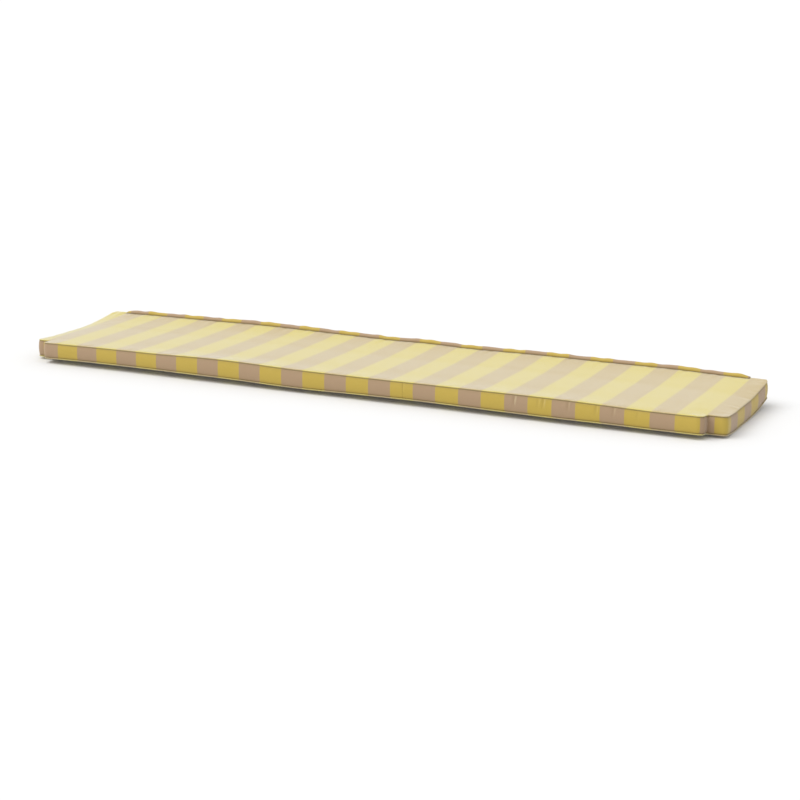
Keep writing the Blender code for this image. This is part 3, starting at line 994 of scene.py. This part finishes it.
class Wire:
    """A shader socket that Python sums work on, and the one place where other nodes are made."""

    def __init__(self, tree, socket=None):
        self.tree = tree
        self.socket = socket

    def make(self, kind, settings=None, inputs=None, output=0):
        """A node of a type, its settings first, then the values or links of its sockets."""
        node = self.tree.nodes.new(kind)
        for label, value in (settings or {}).items():
            setattr(node, label, value)
        for label, value in (inputs or {}).items():
            if isinstance(value, Wire):
                self.tree.links.new(value.socket, node.inputs[label])
            else:
                node.inputs[label].default_value = value
        return Wire(self.tree, node.outputs[output] if node.outputs else None)

    def worked(self, operation, first, second=None):
        values = {0: first} if second is None else {0: first, 1: second}
        return self.make("ShaderNodeMath", {"operation": operation}, values)

    def __add__(self, other):
        return self.worked("ADD", self, other)

    def __sub__(self, other):
        return self.worked("SUBTRACT", self, other)

    def __rsub__(self, other):
        return self.worked("SUBTRACT", other, self)

    def __mul__(self, other):
        return self.worked("MULTIPLY", self, other)

    def sine(self):
        return self.worked("SINE", self)

    def size(self):
        return self.worked("ABSOLUTE", self)

    def clamped(self):
        return self.make("ShaderNodeClamp", None, {"Value": self})

    def mixed(self, factor, first, second, kind="MIX"):
        """Colour between two, by a factor."""
        settings = {"data_type": "RGBA", "blend_type": kind}
        return self.make("ShaderNodeMix", settings, {"Factor": factor, 6: first, 7: second}, output=2)

    def surface(self, inputs):
        """The shader of a material and its output."""
        shader = self.make("ShaderNodeBsdfPrincipled", None, inputs)
        self.make("ShaderNodeOutputMaterial", None, {"Surface": shader})


def new_material(name):
    """A material without nodes, and a wire that makes them."""
    material = bpy.data.materials.new(name)
    material.use_nodes = True
    material.node_tree.nodes.clear()
    return material, Wire(material.node_tree)


def opaque(colour, light=1.0):
    return (*(min(1.0, part * light) for part in colour), 1.0)


def striped_cloth(look, name, yellow_yarn, beige_yarn, sheen):
    """Woven outdoor cloth with equal yellow and beige stripes, plain weave, matte with a pale bloom."""
    material, wire = new_material(name)
    cloth = wire.make("ShaderNodeUVMap", {"uv_map": "cloth"})
    u = wire.make("ShaderNodeSeparateXYZ", None, {0: cloth}, "X")
    v = wire.make("ShaderNodeSeparateXYZ", None, {0: cloth}, "Y")

    def noise(scale_u, scale_v, detail=2.0):
        spread = wire.make("ShaderNodeCombineXYZ", None, {"X": u * scale_u, "Y": v * scale_v, "Z": 0.0})
        return wire.make("ShaderNodeTexNoise", None, {"Vector": spread, "Scale": 1.0, "Detail": detail})

    frayed = u + (noise(*FRAY) - 0.5) * FRAY_WIDTH
    wave = ((frayed - look.first_edge) * (math.pi / look.stripe)).sine()
    yellow = ((wave + STRIPE_BIAS) * STRIPE_SHARPNESS + 0.5).clamped()
    warp = (u * (math.pi / look.yarn)).sine()
    weft = (v * (math.pi / look.yarn)).sine()
    over = (warp * weft * YARN_SHARPNESS + 0.5).clamped()
    height = over * warp.size() + (1.0 - over) * weft.size()
    warp_colour = wire.mixed(yellow, opaque(beige_yarn, WARP_LIGHT), opaque(yellow_yarn, WARP_LIGHT))
    weft_colour = wire.mixed(yellow, opaque(beige_yarn, WEFT_LIGHT), opaque(yellow_yarn, WEFT_LIGHT))
    woven = wire.mixed(over, weft_colour, warp_colour)
    slubs = noise(*SLUBS[0]) * 0.5 + noise(*SLUBS[1]) * 0.5
    blotches = noise(*BLOTCHES)
    tone = ((slubs - 0.5) * SLUB_TONE + (blotches - 0.5) * BLOTCH_TONE + 0.5).clamped()
    toned = wire.mixed(tone, opaque(DIMMEST), opaque(BRIGHTEST))
    shade = wire.mixed(1.0, woven, toned, "MULTIPLY")
    seam = wire.make("ShaderNodeAttribute", {"attribute_name": "seam"}, None, "Fac")
    fold = wire.make("ShaderNodeAttribute", {"attribute_name": "fold"}, None, "Fac")
    # Painted highlight on the crests of the front band's folds
    crest_highlighted = wire.mixed((fold * CREST_HIGHLIGHT_SHARE).clamped(), shade, opaque(CREST_HIGHLIGHT_COLOUR))
    # Painted shade in the creases of the seams and in the folds' grooves
    seam_shaded = wire.mixed((seam * SEAM_SHADE_SHARE).clamped(), crest_highlighted, opaque(SEAM_SHADE_COLOUR))
    relief = {"Strength": RELIEF_STRENGTH, "Distance": RELIEF_HEIGHT, "Height": height + slubs * SLUB_RELIEF}
    wire.surface(
        {
            "Base Color": seam_shaded,
            "Roughness": ((noise(*WEAR) - 0.5) * WEAR_ROUGHNESS + look.roughness).clamped(),
            "Normal": wire.make("ShaderNodeBump", None, relief),
            "Sheen Weight": sheen,
            "Sheen Roughness": look.sheen_roughness,
            "Sheen Tint": (1.0, 1.0, 1.0, 1.0),
            "Coat Weight": look.coat,
            "Coat Roughness": FINISH_ROUGHNESS,
            "Specular IOR Level": 0.5,
        }
    )
    return material


def thread_material(name, colour, roughness):
    material, wire = new_material(name)
    place = wire.make("ShaderNodeTexCoord", None, None, "Object")
    grain = wire.make("ShaderNodeTexNoise", None, {"Vector": place, "Scale": THREAD_GRAIN, "Detail": 2.0})
    tinted = wire.mixed(grain, *(opaque(colour, light) for light in THREAD_SHADES))
    wire.surface({"Base Color": tinted, "Roughness": roughness})
    return material


def stitch_tree(material):
    """Threads in a row along a line, each turned a little by chance."""
    tree = bpy.data.node_groups.new("stitch_row", "GeometryNodeTree")
    for label, kind in STITCH_INPUTS.items():
        tree.interface.new_socket(label, in_out="INPUT", socket_type="NodeSocket" + kind)
    tree.interface.new_socket("Threads", in_out="OUTPUT", socket_type="NodeSocketGeometry")
    wire = Wire(tree)
    inputs = (wire.make("NodeGroupInput", None, None, label) for label in STITCH_INPUTS)
    line, pitch, length, radius, seed = inputs
    curve = wire.make("GeometryNodeMeshToCurve", None, {"Mesh": line})
    places = wire.make("GeometryNodeResampleCurve", {"mode": "LENGTH"}, {"Curve": curve, "Length": pitch})
    ball = {"Segments": THREAD_SIDES, "Rings": THREAD_RINGS, "Radius": 1.0}
    thread = wire.make("GeometryNodeMeshUVSphere", None, ball)
    along = wire.make("GeometryNodeInputTangent")
    turn = wire.make("FunctionNodeAlignRotationToVector", {"axis": "Z"}, {"Vector": along})
    turns = {"Min": THREAD_LEAST, "Max": THREAD_MOST, "Seed": seed}
    chance = wire.make("FunctionNodeRandomValue", {"data_type": "FLOAT_VECTOR"}, turns)
    askew = wire.make("FunctionNodeEulerToRotation", None, {"Euler": chance})
    both = {"Rotation": turn, "Rotate By": askew}
    turned = wire.make("FunctionNodeRotateRotation", {"rotation_space": "LOCAL"}, both)
    size = wire.make("ShaderNodeCombineXYZ", None, {"X": radius, "Y": radius, "Z": length * 0.5})
    laid = {"Points": places, "Instance": thread, "Rotation": turned, "Scale": size}
    threads = wire.make("GeometryNodeInstanceOnPoints", None, laid)
    real = wire.make("GeometryNodeRealizeInstances", None, {"Geometry": threads})
    dressed = wire.make("GeometryNodeSetMaterial", None, {"Geometry": real, "Material": material})
    wire.make("NodeGroupOutput", None, {"Threads": dressed})
    return tree


def seam_line(name, edge, numbers, inset, height, wave_share, closed):
    """A line of points along a seam, for stitches to follow."""
    ones = np.ones((len(numbers), 1))
    points = edge.placed(inset * ones, height * ones, wave_share, numbers)[:, 0]
    count = len(points)
    edges = [(index, (index + 1) % count) for index in range(count if closed else count - 1)]
    mesh = bpy.data.meshes.new(name)
    mesh.from_pydata(points.tolist(), edges, [])
    return placed_object(name, mesh)


class CUSHION_OT_stitches(bpy.types.Operator):
    """Make the threads that show in the creases between the panels and the boxing"""

    bl_idname = "cushion.stitches"
    bl_label = "Seam stitches"

    def execute(self, context):
        sewing, form = context.scene.cushion_seams, context.scene.cushion_form
        columns, rows = section_places(form.band_step, form.band_step)
        edge = CushionEdge(columns, rows)
        but_back = edge.run(edge.find(-TONGUE, DEPTH), edge.find(TONGUE, DEPTH))
        material = thread_material("sewing_thread", sewing.colour, THREAD_ROUGHNESS)
        tree = stitch_tree(material)
        sockets = {item.name: item.identifier for item in tree.interface.items_tree if item.in_out == "INPUT"}
        lines = (
            ("stitches_top", but_back, SEAM_TOP - sewing.depth, 1.0, False),
            ("stitches_bottom", np.arange(len(edge.x)), BOTTOM_ROLL + sewing.depth, 0.0, True),
        )
        for name, numbers, height, wave_share, closed in lines:
            row = seam_line(name, edge, numbers, sewing.inset, height, wave_share, closed)
            threads = row.modifiers.new("threads", "NODES")
            threads.node_group = tree
            threads[sockets["Pitch"]] = sewing.pitch
            threads[sockets["Length"]] = sewing.length
            threads[sockets["Radius"]] = sewing.thread
            threads[sockets["Seed"]] = THREAD_SEED
            sewn = bpy.data.meshes.new_from_object(row.evaluated_get(context.evaluated_depsgraph_get()))
            row.modifiers.clear()
            row.data = sewn
            sewn.shade_smooth()
            finished(row, material, [])
        return {"FINISHED"}


def stage_floor(colour, glow):
    """A very wide plain floor that ends beyond the view."""
    bm = bmesh.new()
    bmesh.ops.create_grid(bm, x_segments=8, y_segments=8, size=FLOOR_SIZE)
    mesh = bpy.data.meshes.new("floor")
    bm.to_mesh(mesh)
    bm.free()
    mesh.transform(Matrix.Translation((0.0, 0.0, -FLOOR_DROP)))
    floor = placed_object("floor", mesh)
    material, wire = new_material("pale_floor")
    wire.surface(
        {
            "Base Color": opaque(colour),
            "Roughness": 1.0,
            "Specular IOR Level": 0.0,
            "Emission Color": (1.0, 1.0, 1.0, 1.0),
            "Emission Strength": glow,
        }
    )
    mesh.materials.append(material)


def broad_light(name, source, strength, spread):
    """A distant light from a direction, so wide that its shadows are soft."""
    data = bpy.data.lights.new(name, "SUN")
    data.energy = strength
    data.angle = spread
    lamp = placed_object(name, data)
    lamp.rotation_euler = (-Vector(source)).to_track_quat("-Z", "Y").to_euler()


def photo_camera():
    """The camera at the photograph's angle to the cushion, without shift."""
    yaw, pitch, turn = (math.radians(angle) for angle in (CAMERA_YAW, CAMERA_PITCH, CAMERA_ROLL))
    ahead = Vector((-math.sin(yaw) * math.cos(pitch), math.cos(yaw) * math.cos(pitch), -math.sin(pitch)))
    right = Vector((math.cos(yaw), math.sin(yaw), 0.0))
    down = ahead.cross(right)
    side = math.cos(turn) * right + math.sin(turn) * down
    below = -math.sin(turn) * right + math.cos(turn) * down
    data = bpy.data.cameras.new("photo_camera")
    data.sensor_width = SENSOR_WIDTH
    data.lens = FOCAL_PIXELS / PICTURE_PIXELS * SENSOR_WIDTH
    data.clip_end = VIEW_END
    camera = placed_object("photo_camera", data)
    turned = Matrix((side, -below, -ahead)).transposed().to_4x4()
    camera.matrix_world = Matrix.Translation(CAMERA_PLACE) @ turned
    bpy.context.scene.camera = camera


class CUSHION_OT_studio(bpy.types.Operator):
    """Make the pale floor, the soft light and the camera"""

    bl_idname = "cushion.studio"
    bl_label = "Studio"

    def execute(self, context):
        studio = context.scene.cushion_studio
        stage_floor(studio.floor_colour, studio.floor_glow)
        broad_light("key_light", KEY_FROM, studio.key_strength, studio.key_spread)
        world = bpy.data.worlds.new("studio_surround")
        world.use_nodes = True
        background = world.node_tree.nodes["Background"]
        background.inputs["Color"].default_value = (1.0, 1.0, 1.0, 1.0)
        background.inputs["Strength"].default_value = studio.surround
        context.scene.world = world
        context.scene.view_settings.view_transform = "Standard"
        photo_camera()
        return {"FINISHED"}


class CUSHION_PT_panel(bpy.types.Panel):
    """Lists the cushion's operators and sizes"""

    bl_label = "Bench cushion"
    bl_idname = "CUSHION_PT_panel"
    bl_space_type = "VIEW_3D"
    bl_region_type = "UI"
    bl_category = "Cushion"

    def draw(self, context):
        layout = self.layout
        for operator in OPERATORS:
            layout.operator(operator.bl_idname)
        for name in SETTINGS:
            group = getattr(context.scene, name)
            box = layout.box()
            for label in group.__annotations__:
                box.prop(group, label)


OPERATORS = (CUSHION_OT_pad, CUSHION_OT_boxing, CUSHION_OT_stitches, CUSHION_OT_studio)
SETTINGS = {
    "cushion_form": CushionFormSettings,
    "cushion_cloth": CushionClothSettings,
    "cushion_seams": CushionSeamSettings,
    "cushion_studio": CushionStudioSettings,
}


def register():
    for group in (*SETTINGS.values(), *OPERATORS, CUSHION_PT_panel):
        bpy.utils.register_class(group)
    for name, group in SETTINGS.items():
        setattr(bpy.types.Scene, name, PointerProperty(type=group))


def unregister():
    for name in SETTINGS:
        delattr(bpy.types.Scene, name)
    for group in reversed((*SETTINGS.values(), *OPERATORS, CUSHION_PT_panel)):
        bpy.utils.unregister_class(group)


def main():
    register()
    bpy.ops.cushion.pad()
    bpy.ops.cushion.boxing()
    bpy.ops.cushion.stitches()
    bpy.ops.cushion.studio()


if __name__ == "__main__":
    main()
